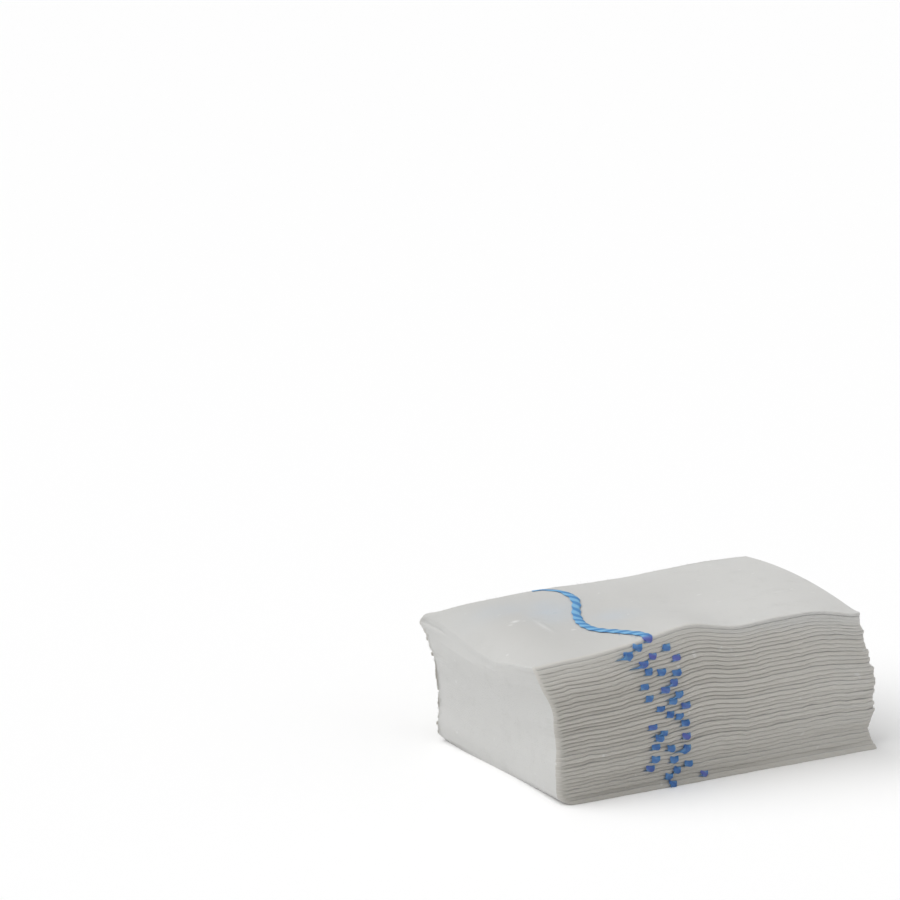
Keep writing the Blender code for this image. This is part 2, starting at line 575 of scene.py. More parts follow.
    def fray_lines(self, side: FoldSide, rng: Random) -> Array:
        """How far each fold's ends stand out past the left edge at the back and the right edge in front.

        Args:
            side: Side of the pad that the folds are on.
            rng: Source of the differences between folds.

        Returns:
            A row of shares of the width to add for each fold.
        """
        width = self.form.width
        edge, size = (-0.5, 1.0) if side is FoldSide.BACK else (0.5, self.right_fray)
        near = np.exp(-np.abs(self.across - edge) * width / self.fray_depth)
        out = rng.uniform(*self.fray, self.front_folds) * size
        return math.copysign(1.0, edge) * out[:, None] / width * near[None, :]

    def level(self, boundary: int, y: Array) -> Array:
        """Height of the boundary under a layer, at each column.

        Args:
            boundary: 0 at the foot, up to the number of layers at the top.
            y: Place along the fold length for each column, in metres.

        Returns:
            Height in metres for each column.
        """
        along = np.clip(y / self.form.length, -0.5, 0.5)
        front, back = (self.shares[side][boundary] for side in FoldSide)
        return blend(front, back, along + 0.5) * self.form.height_at(self.across, along)

    def skin(self, layer: int, y: Array, upper: bool) -> Array:
        """Height of a layer's upper or under side, with half of the gap to its neighbour taken off."""
        gap = 0.0 if layer + upper in (0, self.layers) else self.half_gap
        return self.level(layer + upper, y) + (-gap if upper else gap)

    def nose_reach(self, side: FoldSide, fold: int, lower: bool) -> Array:
        """How far a fold's nose stands out from where it starts, which is less under the wide top fold."""
        under_top = lower and side is FoldSide.FRONT and fold == self.front_folds - 1
        return self.reach[side][fold] * (self.top_fold_under if under_top else 1.0)

    def crease(self, side: FoldSide, fold: int, lower: bool) -> Array:
        """Where the lower or upper half of a fold's round nose starts, along Y for each column."""
        start = self.form.length / 2 - self.nose_reach(side, fold, lower)
        return side.value * (start + self.creases[side][fold])

    def panel_rows(self, layer: int) -> list[tuple[Array, Array]]:
        """Rows of points along one flat layer, from where the strip enters it to where it leaves.

        Args:
            layer: Number of the layer, counted from the foot.

        Returns:
            Pairs of point rows, for the face with the thread and for the plain face.
        """
        goes_forward = layer % 2 == 0
        from_top = self.layers - 1 - layer
        front = self.crease(FoldSide.FRONT, layer // 2, goes_forward)
        if layer == 0 or from_top == 0:
            back = self.form.length / 2 + self.end_line
        else:
            back = self.crease(FoldSide.BACK, (layer - 1) // 2, not goes_forward)
        start, end = (back, front) if goes_forward else (front, back)
        steps = self.top_panel_steps[from_top] if from_top < len(self.top_panel_steps) else self.panel_steps
        rows = []
        for step in range(steps + 1):
            y = blend(start, end, step / steps)
            over, under = (
                self.form.place(self.across, y, self.skin(layer, y, upper)) for upper in (True, False)
            )
            rows.append((under, over) if goes_forward else (over, under))
        return rows

    def fold_rows(self, layer: int) -> list[tuple[Array, Array]]:
        """Rows of points round the fold from one layer to the next, without the two that the layers own.

        Args:
            layer: Number of the layer under the fold.

        Returns:
            Pairs of point rows, as for a flat layer.
        """
        side = FoldSide.FRONT if layer % 2 == 0 else FoldSide.BACK
        fold, across = layer // 2, self.across + self.frays[side][layer // 2]
        bottom, top = (self.crease(side, fold, lower) for lower in (True, False))
        outside, inside = (
            (self.skin(layer, bottom, not outer), self.skin(layer + 1, top, outer))
            for outer in (True, False)
        )
        rows = []
        for step in range(1, self.nose_steps):
            rise = math.sin(math.pi * (step / self.nose_steps - 0.5))
            out = (1 - abs(rise) ** self.fold_squareness) ** (1 / self.fold_squareness)
            start = bottom if rise < 0 else top
            reach = side.value * out * self.nose_reach(side, fold, rise < 0)
            outer, inner = (
                self.form.place(across, start + share * reach, blend(*heights, (1 + rise) / 2))
                for share, heights in ((1.0, outside), (self.inner_reach, inside))
            )
            rows.append((outer, inner) if side is FoldSide.FRONT else (inner, outer))
        return rows

    def build(self) -> Piece:
        """Make the strip's mesh, both faces and its four cut edges.

        Returns:
            The strip's object.
        """
        pairs = []
        for layer in range(self.layers):
            self.panel_start.append(len(pairs))
            pairs += self.panel_rows(layer)
            if layer < self.layers - 1:
                self.fold_start.append(len(pairs))
                pairs += self.fold_rows(layer)
        self.thread_face, plain_face = (np.array(face) for face in zip(*pairs))
        rows, columns = self.thread_face.shape[:2]
        size = rows * columns
        points = np.concatenate([self.thread_face.reshape(-1, 3), plain_face.reshape(-1, 3)])
        faces = [grid_faces(0, rows, columns), grid_faces(size, rows, columns)[:, ::-1]]
        number = np.arange(size).reshape(rows, columns)
        for edge in (number[:, 0], number[::-1, -1], number[0, ::-1], number[-1]):
            faces.append(np.stack([edge[:-1], edge[1:], edge[1:] + size, edge[:-1] + size], axis=-1))
        self.along = run_length(self.thread_face[:, columns // 2])
        u, v = np.broadcast_arrays((self.across * self.form.width)[None, :], self.along[:, None])
        uvs = np.tile(np.stack([u.ravel(), v.ravel()], axis=-1), (2, 1))
        self.object = mesh_object("gauze_cloth", points, faces, uvs)
        self.write_fold_share()
        return self.object

    def write_fold_share(self) -> None:
        """Store how strongly each point takes the noses' warmer colour and their painted shade, for the
        finish.
        """
        rng = np.random.default_rng(self.seed)
        share = np.zeros(self.thread_face.shape[:2])
        for layer, first in enumerate(self.fold_start):
            up = (layer + 1) / self.layers
            painted_nose_shade = self.painted_shade_at_foot.at(up) * self.painted_shade_at_top.at(up) * (1 + self.tone_spread * rng.uniform(-1, 1))
            painted_nose_shades = np.clip(painted_nose_shade * self.painted_shade_across.at(self.across), 0.0, 1.0)
            share[first : first + self.nose_steps - 1] = painted_nose_shades
        # fold_share marks the noses for their warmer colour and holds their painted shade.
        write_attribute(self.object, "fold_share", np.tile(share.ravel(), 2))

    def dress(self, material: Material, loose: list[Piece]) -> None:
        """Shade the cloth smooth, give it its finish, hang it on the root body and hide the part that it
        stands for.

        Args:
            material: The gauze's finish.
            loose: The pieces that the cloth carries. Not used.
        """
        piece = self.object
        smooth_finish(piece, material, self.sharp_from)
        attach(piece, "root")
        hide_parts("gauze_strip")


@dataclass(frozen=True)
class CoursePoint:
    """One point of the thread's course on the top layer, as shares of the width and of the fold length."""

    across: float
    along: float


class YarnRing(NamedTuple):
    """Where one ring of the yarn lies on the strip, how thick it is and how it is dyed."""

    row: float
    across: float
    thickness: float
    on_fold: float = 0.0
    violet: float = 0.0


@dataclass
class TracerThread:
    """The blue X-ray-detectable yarn on one face of the strip, with its front folds numbered from the top."""

    strip: GauzeStrip
    width: float = 1.80 * MM
    top_thickness: float = 0.42 * MM
    fold_thickness: float = 0.46 * MM
    fold_width: float = 1.12
    fold_fullness: float = 0.7
    fold_steps: int = 14
    hidden_thickness: float = 0.014 * MM
    start_width: float = 0.40
    start_length: float = 14.0 * MM
    fold_slant: float = 0.9 * MM
    tail: float = 1.8 * MM
    tail_start: float = 0.75
    tailed_folds: tuple[int, ...] = (2, 5, 11, 14, 22, 27)
    back_clearance: float = 1.8 * MM
    lift: float = 0.004 * MM
    middle: float = 0.0245
    swing: float = 0.0046
    hidden_swing: float = 0.6
    waves_between_folds: float = 1.5
    sides: int = 10
    strands: int = 2
    strand_bulge: float = 0.13
    twist_length: float = 5.2 * MM
    front_twist_length: float = 3.1 * MM
    front_twist_from: float = 0.6
    violet_folds: tuple[int, ...] = (0, 4, 6, 24, 34)
    bluish_folds: tuple[int, ...] = (5, 11, 12, 17, 20, 30)
    bluish_share: float = 0.5
    step: float = 0.42 * MM
    hidden_step: float = 3.0 * MM
    sharp_from: float = 75.0
    course: tuple[CoursePoint, ...] = (
        CoursePoint(0.318, 0.490), CoursePoint(0.333, 0.487), CoursePoint(0.347, 0.480),
        CoursePoint(0.361, 0.460), CoursePoint(0.375, 0.432), CoursePoint(0.381, 0.395),
        CoursePoint(0.382, 0.342), CoursePoint(0.378, 0.282), CoursePoint(0.369, 0.230),
        CoursePoint(0.347, 0.150), CoursePoint(0.318, 0.063), CoursePoint(0.302, 0.007),
        CoursePoint(0.288, -0.050), CoursePoint(0.277, -0.110), CoursePoint(0.273, -0.172),
        CoursePoint(0.276, -0.227), CoursePoint(0.289, -0.278), CoursePoint(0.309, -0.328),
        CoursePoint(0.327, -0.382), CoursePoint(0.343, -0.437), CoursePoint(0.349, -0.490),
    )
    # Crossings of the folds after the first, from the top, as shares of the swing from the thread's middle.
    later_crossings: tuple[float, ...] = (
        -0.35, -0.90, 0.90, 0.10, -0.47, 1.12, -0.41, 0.14, 0.84, -0.87, 0.56, 0.05,
        -0.79, 0.68, 0.35, -0.30, 0.98, 0.15, 0.58, -0.82, 0.82, -0.30, -0.60, 0.77,
        -0.82, -0.09, 0.76, -0.90, 0.09, -1.12, 0.92, 0.30, -0.18, 1.69, -0.03,
    )
    object: Piece | None = None

    def build(self) -> Piece:
        """Sweep the yarn's section along its course over the strip, and store its twist for the finish.

        Returns:
            The thread's object.
        """
        row, across, thickness, fold, violet = self.route()
        centre, normal = self.on_face(row, across)
        along = run_length(centre)
        side = unit(np.cross(unit(np.gradient(centre, axis=0)), normal))
        near_front = along >= self.front_twist_from * self.strip.form.length
        twist_length = np.where(near_front, self.front_twist_length, self.twist_length)
        turns = np.concatenate([[0.0], np.cumsum(np.diff(along) / twist_length[1:])])[:, None]
        turn = np.linspace(0, WHOLE_TURN, self.sides, endpoint=False)[None, :]
        lobes = 1 + self.strand_bulge * np.cos(self.strands * turn - WHOLE_TURN * turns)
        taper = blend(self.start_width, 1.0, ease(0.0, self.start_length, along))
        wide = self.width * taper * blend(1.0, self.fold_width, fold)
        half_width = wide[:, None] / 2 * lobes * np.cos(turn)
        height = self.lift + (thickness * taper)[:, None] / 2 * (1 + lobes * np.sin(turn))
        rings = centre[:, None] + side[:, None] * half_width[..., None]
        rings += normal[:, None] * height[..., None]
        # The floor presses the yarn flat where it turns under the pad's lowest fold.
        rings[..., 2] = np.maximum(rings[..., 2], 0.0)
        tube = grid_faces(0, len(rings), self.sides, closed=True)
        self.object = mesh_object("tracer_yarn", rings.reshape(-1, 3), [tube])
        self.close_ends()
        twist = {"yarn_turns": turns, "yarn_angle": turn / WHOLE_TURN * self.strands}
        for name, values in {**twist, "on_fold": fold[:, None], "violet": violet[:, None]}.items():
            write_attribute(self.object, name, np.broadcast_to(values, rings.shape[:2]))
        return self.object

    def close_ends(self) -> None:
        """Close the yarn's two cut ends."""
        select_only(self.object)
        bpy.ops.object.mode_set(mode="EDIT")
        bpy.ops.mesh.select_mode(type="EDGE")
        bpy.ops.mesh.select_all(action="DESELECT")
        bpy.ops.mesh.select_non_manifold()
        bpy.ops.mesh.edge_face_add()
        bpy.ops.object.mode_set(mode="OBJECT")

    def route(self) -> Array:
        """The yarn's course, from the back edge of the top layer down to the foot.

        Returns:
            One row for each value of the rings.
        """
        first, last = self.strip.panel_start[-1], len(self.strip.thread_face) - 1
        rings = [
            YarnRing(blend(first, last, along + 0.5), across, self.top_thickness)
            for across, along in self.top_course()
        ]
        for number in range(self.strip.front_folds):
            rings += self.fold_rings(number)
            if number < self.strip.front_folds - 1:
                rings += self.hidden_rings(number)
        return np.array(rings).T

    def top_course(self) -> Array:
        """Evenly spaced points of the yarn on the top layer, from the back edge to the front fold.

        Returns:
            Rows of the places across and along, as shares from -0.5 to 0.5.
        """
        points = np.stack([column(self.course, "across") - 0.5, column(self.course, "along")], axis=-1)
        run = run_length(points * (self.strip.form.width, self.strip.form.length))
        at = np.linspace(0.0, run[-1], int(run[-1] / self.step))
        return np.stack([smooth_through(run, points[:, axis], at) for axis in (0, 1)], axis=-1)

    def layer_under(self, number: int) -> int:
        """Number of the layer under a front fold, when the fold is counted from the top."""
        return self.strip.layers - 2 - 2 * number

    def crossing(self, number: int) -> float:
        """Place across the strip where the yarn crosses a front fold, counted from the top."""
        later = (self.middle + self.later_crossings[number - 1] * self.swing) / self.strip.form.width
        return (later if number else self.course[-1].across) - 0.5

    def tail_at(self, number: int) -> float:
        """How far the yarn trails off to the left under a front fold, in metres."""
        return self.tail if number in self.tailed_folds else 0.0

    def fold_rings(self, number: int) -> list[YarnRing]:
        """Lead the yarn round the outside of one front fold.

        Args:
            number: Number of the fold, counted from the top.

        Returns:
            The yarn's rings.
        """
        strip, layer, width = self.strip, self.layer_under(number), self.strip.form.width
        hue = float(number in self.violet_folds) + self.bluish_share * (number in self.bluish_folds)
        start, end = strip.panel_start[layer + 1], strip.fold_start[layer] - 1
        upright_at = 0.5 if number else 0.0
        rings = []
        for step in range(1, self.fold_steps + 1):
            t = step / self.fold_steps
            on_fold = math.sin(math.pi * t) ** self.fold_fullness
            thickness = blend(self.hidden_thickness, self.fold_thickness, on_fold)
            if number == 0:
                thickness = max(thickness, self.top_thickness * (1 - t) ** 2)
            trailed = max(t - self.tail_start, 0.0) / (1 - self.tail_start)
            drift = self.fold_slant * (t - upright_at) + self.tail_at(number) * trailed
            across = self.crossing(number) - drift / width
            rings.append(YarnRing(blend(start, end, t), across, thickness, on_fold, hue))
        return rings

    def hidden_rings(self, number: int) -> list[YarnRing]:
        """Lead the yarn through two hidden layers, from one front fold to the next one below.

        Args:
            number: Number of the fold that it comes from, counted from the top.

        Returns:
            The yarn's rings.
        """
        strip, layer, width = self.strip, self.layer_under(number), self.strip.form.width
        start, end = strip.along[strip.fold_start[layer] - 1], strip.along[strip.panel_start[layer - 1]]
        back_fold = strip.along[strip.fold_start[layer - 1] + strip.nose_steps // 2 - 1]
        leave = self.crossing(number) - (0.5 * self.fold_slant + self.tail_at(number)) / width
        enter = self.crossing(number + 1) + 0.5 * self.fold_slant / width
        count = int((start - end) / self.hidden_step)
        rings = []
        for t in np.arange(1, count) / count:
            along = blend(start, end, t)
            if abs(along - back_fold) < self.back_clearance:
                continue
            row = float(np.interp(along, strip.along, np.arange(len(strip.along))))
            wave = math.sin(WHOLE_TURN * self.waves_between_folds * t) * math.sin(math.pi * t)
            across = blend(leave, enter, t) + self.hidden_swing * self.swing / width * wave
            rings.append(YarnRing(row, across, self.hidden_thickness))
        return rings

    def on_face(self, row: Array, across: Array) -> tuple[Array, Array]:
        """Points and outward directions on the strip's face with the thread.

        Args:
            row: Row of the strip at each point, between whole rows too.
            across: Place across the strip, as shares of its width.

        Returns:
            The points and their unit normals.
        """
        face = self.strip.thread_face
        normals = unit(np.cross(np.gradient(face, axis=1), np.gradient(face, axis=0)))
        place = np.interp(across, self.strip.across, np.arange(len(self.strip.across)))
        return self.read_grid(face, row, place), unit(self.read_grid(normals, row, place))

    @staticmethod
    def read_grid(grid: Array, row: Array, place: Array) -> Array:
        """Read a grid of vectors between its points.

        Args:
            grid: Rows and columns of vectors.
            row: Row of each place to read, between whole rows too.
            place: Column of each place to read, in the same way.

        Returns:
            A vector for each place.
        """
        r = np.clip(row.astype(int), 0, grid.shape[0] - 2)
        c = np.clip(place.astype(int), 0, grid.shape[1] - 2)
        down, over = (row - r)[:, None], (place - c)[:, None]
        near = blend(grid[r, c], grid[r, c + 1], over)
        return blend(near, blend(grid[r + 1, c], grid[r + 1, c + 1], over), down)

    def dress(self, material: Material) -> None:
        """Shade the yarn smooth, give it its finish, hang it on the root body and hide the part that it
        stands for.

        Args:
            material: The yarn's finish.
        """
        piece = self.object
        smooth_finish(piece, material, self.sharp_from)
        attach(piece, "root")
        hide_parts("tracer_thread")


@dataclass(frozen=True)
class FibrePatch:
    """A part of the pad, by ranges of its shares, with the length in millimetres of the fibres on it."""

    count: int
    across: Pair
    along: Pair
    height: Pair
    length: Pair
    lean: Triple
    spread: float = 0.6


@dataclass
class LooseFibres:
    """Fine fibres that stand out of the cloth or the yarn, as one object of thin tapered tubes."""

    form: PadForm
    name: str
    patches: tuple[FibrePatch, ...]
    radius: float = 0.045 * MM
    tip: float = 0.25
    rings: int = 5
    sides: int = 4
    curl: float = 0.30
    sink: float = 0.15 * MM
    floor_band: float = 1.5 * MM
    seed: int = 5
    object: Piece | None = None

    def build(self) -> Piece:
        """Grow every patch's fibres.

        Returns:
            The fibres' object.
        """
        rng = np.random.default_rng(self.seed)
        grown = [self.grow(patch, rng) for patch in self.patches]
        roots, ways, lengths = (np.concatenate(each) for each in zip(*grown))
        count = len(roots)
        t = np.linspace(0.0, 1.0, self.rings)
        first = unit(np.cross(ways, rng.normal(size=(count, 3))))
        second = np.cross(ways, first)
        bend = lengths * self.curl * rng.uniform(-1, 1, count)
        middle = roots[:, None] + ways[:, None] * (lengths[:, None] * t)[..., None]
        middle += first[:, None] * (bend[:, None] * t**2)[..., None]
        angle = np.linspace(0, WHOLE_TURN, self.sides, endpoint=False)[None, :, None]
        outwards = first[:, None] * np.cos(angle) + second[:, None] * np.sin(angle)
        thin = self.radius * blend(1.0, self.tip, t)
        points = middle[:, :, None] + outwards[:, None] * thin[None, :, None, None]
        size = self.rings * self.sides
        ends = np.array([[3, 2, 1, 0], [size - 4, size - 3, size - 2, size - 1]])
        fibre = np.concatenate([grid_faces(0, self.rings, self.sides, closed=True), ends])
        faces = fibre[None] + (np.arange(count) * size)[:, None, None]
        self.object = mesh_object(self.name, points.reshape(-1, 3), [faces.reshape(-1, 4)])
        return self.object

    def grow(self, patch: FibrePatch, rng: Random) -> tuple[Array, Array, Array]:
        """Scatter one patch's fibres, which turn upwards near the floor.

        Args:
            patch: Where they stand, and how long and which way.
            rng: Source of their places and directions.

        Returns:
            Their roots, unit directions and lengths.
        """
        spans = (patch.across, patch.along, patch.height)
        across, along, height = (rng.uniform(*span, patch.count) for span in spans)
        ways = unit(np.array(patch.lean) + patch.spread * rng.normal(size=(patch.count, 3)))
        z = height * self.form.height_at(across, along)
        roots = self.form.place(across, along * self.form.length, z)
        by_floor = roots[:, 2] < self.floor_band
        ways[by_floor, 2] = np.abs(ways[by_floor, 2])
        lengths = self.sink + rng.uniform(*patch.length, patch.count) * MM
        return roots - ways * self.sink, ways, lengths

    def dress(self, material: Material, slot: str) -> None:
        """Give the fibres their finish and say what they ride on.

        Args:
            material: The finish of what they come from.
            slot: Name of its material slot. Not used.
        """
        self.object.data.materials.append(material)
        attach(self.object, "root")


@dataclass
class NodeSheet:
    """A small hand for laying out shader nodes in a tree."""

    tree: bpy.types.NodeTree

    def feed(self, node: Node, inputs: dict) -> None:
        """Link or set inputs of a node.

        Args:
            node: The node.
            inputs: Sockets, numbers, vectors or colours, by the input's name or number.
        """
        for name, value in inputs.items():
            slot = node.inputs[name]
            if isinstance(value, Socket):
                self.tree.links.new(value, slot)
            else:
                slot.default_value = (*value, 1.0) if slot.type == "RGBA" else value

    def add(self, kind: str, inputs: dict | None = None, **settings: object) -> Node:
        """Add a shader node.

        Args:
            kind: The node's type, without its prefix.
            inputs: Sockets, numbers, vectors or colours, by the input's name or number.
            **settings: Properties of the node by name.

        Returns:
            The new node.
        """
        node = self.tree.nodes.new("ShaderNode" + kind)
        for name, value in settings.items():
            setattr(node, name, value)
        self.feed(node, inputs or {})
        return node

    def math(self, operation: str, first: Input, second: Input, clamp: bool = False) -> Socket:
        """Work out one value from two, kept within 0 and 1 if clamp is set."""
        return self.add("Math", {0: first, 1: second}, operation=operation, use_clamp=clamp).outputs[0]

    def times(self, first: Input, second: Input, clamp: bool = False) -> Socket:
        """Multiply two values."""
        return self.math("MULTIPLY", first, second, clamp)

    def minus(self, first: Input, second: Input, clamp: bool = False) -> Socket:
        """Take one value from another."""
        return self.math("SUBTRACT", first, second, clamp)

    def noise(self, place: Socket, scale: float, detail: float) -> Socket:
        """Cloudy noise from 0 to 1, with its repeats in each metre and its number of finer layers."""
        return self.add("TexNoise", {"Vector": place, "Scale": scale, "Detail": detail}).outputs["Fac"]

    def mix(self, share: Socket, first: Socket | Triple, second: Socket | Triple) -> Socket:
        """Mix two colours, with a share of 0 for the first one and 1 for the second."""
        return self.add("Mix", {0: share, 6: first, 7: second}, data_type="RGBA").outputs[2]

    def attribute(self, name: str) -> Socket:
        """A value that is stored on the mesh."""
        return self.add("Attribute", attribute_name=name).outputs["Fac"]

    def bump(self, height: Socket, distance: float, strength: float, under: dict | None = None) -> Socket:
        """The normal of a surface that is raised by a map of heights, over what under gives as Normal."""
        inputs = {"Height": height, "Distance": distance, "Strength": strength, **(under or {})}
        return self.add("Bump", inputs).outputs["Normal"]


def start_material(name: str) -> tuple[Material, NodeSheet, Node]:
    """Make a material.

    Args:
        name: Its name.

    Returns:
        The material, the sheet of its nodes and its shader.
    """
    material = bpy.data.materials.new(name)
    material.use_nodes = True
    return material, NodeSheet(material.node_tree), material.node_tree.nodes["Principled BSDF"]


class FibreWeb:
    """Shader group for the tangle of fine fibres that makes a nonwoven cloth or a fuzzy yarn."""

    NAME = "fibre_web"
    STRANDS = ((500.0, 2600.0, 2600.0), (2600.0, 560.0, 2600.0), (1900.0, 1900.0, 620.0))
    SHARPNESS = 9.0
    CLOUD_SCALE = 210.0
    CLOUD_DETAIL = 4.0

    @classmethod
    def group(cls) -> bpy.types.NodeTree:
        """Build the group once and hand it out again after that.

        Returns:
            The group, with inputs Vector and Fineness, and outputs Fibres and Clouds.
        """
        if cls.NAME in bpy.data.node_groups:
            return bpy.data.node_groups[cls.NAME]
        tree = bpy.data.node_groups.new(cls.NAME, "ShaderNodeTree")
        tree.interface.new_socket("Vector", in_out="INPUT", socket_type="NodeSocketVector")
        tree.interface.new_socket("Fineness", in_out="INPUT", socket_type="NodeSocketFloat")
        for name in ("Fibres", "Clouds"):
            tree.interface.new_socket(name, in_out="OUTPUT", socket_type="NodeSocketFloat")
        sheet = NodeSheet(tree)
        inside, outside = tree.nodes.new("NodeGroupInput").outputs, tree.nodes.new("NodeGroupOutput")
        scaled = {0: inside["Vector"], "Scale": inside["Fineness"]}
        place = sheet.add("VectorMath", scaled, operation="SCALE").outputs[0]
        fibres = None
        for scale in cls.STRANDS:
            stretched = sheet.add("Mapping", {"Vector": place, "Scale": scale}).outputs["Vector"]
            away = sheet.math("ABSOLUTE", sheet.minus(sheet.noise(stretched, 1.0, 1.0), 0.5), 0.0)
            ridge = sheet.minus(1.0, sheet.times(away, cls.SHARPNESS), clamp=True)
            fibres = ridge if fibres is None else sheet.math("MAXIMUM", fibres, ridge)
        clouds = sheet.noise(place, cls.CLOUD_SCALE, cls.CLOUD_DETAIL)
        sheet.feed(outside, {"Fibres": fibres, "Clouds": clouds})
        return tree

    @classmethod
    def use(cls, sheet: NodeSheet, place: Socket, fineness: float) -> tuple[Socket, Socket]:
        """Place the group in a material.

        Args:
            sheet: The material's nodes.
            place: Coordinates for the pattern.
            fineness: 1 for cloth, more for finer fibres.

        Returns:
            The group's fibres and clouds.
        """
        node = sheet.add("Group", node_tree=cls.group())
        sheet.feed(node, {"Vector": place, "Fineness": fineness})
        return node.outputs["Fibres"], node.outputs["Clouds"]


@dataclass(frozen=True)
class SoftSpot:
    """A soft-edged ellipsoid in the cloth, in millimetres, turned by degrees about its upright axis."""

    centre: Triple
    reach: Triple
    turn: float = 0.0
    strength: float = 1.0

    def mask(self, sheet: NodeSheet, place: Socket) -> Socket:
        """Lay out the spot's nodes.

        Args:
            sheet: The material's nodes.
            place: Object coordinates.

        Returns:
            The spot's strength at the centre, falling to 0.
        """
        inputs = {
            "Vector": place,
            "Location": [MM * value for value in self.centre],
            "Rotation": (0.0, 0.0, math.radians(self.turn)),
            "Scale": [MM * value for value in self.reach],
        }
        away = sheet.add("Mapping", inputs, vector_type="TEXTURE").outputs["Vector"]
        square = sheet.add("VectorMath", {0: away, 1: away}, operation="DOT_PRODUCT").outputs["Value"]
        return sheet.times(sheet.math("EXPONENT", sheet.times(square, -1.0), 0.0), self.strength)

    @staticmethod
    def strongest(sheet: NodeSheet, place: Socket, spots: tuple["SoftSpot", ...]) -> Socket:
        """Take the strongest of several spots at each place.

        Args:
            sheet: The material's nodes.
            place: Object coordinates.
            spots: The spots.

        Returns:
            A value from 0 to 1.
        """
        total = spots[0].mask(sheet, place)
        for spot in spots[1:]:
            total = sheet.math("MAXIMUM", total, spot.mask(sheet, place))
        return total


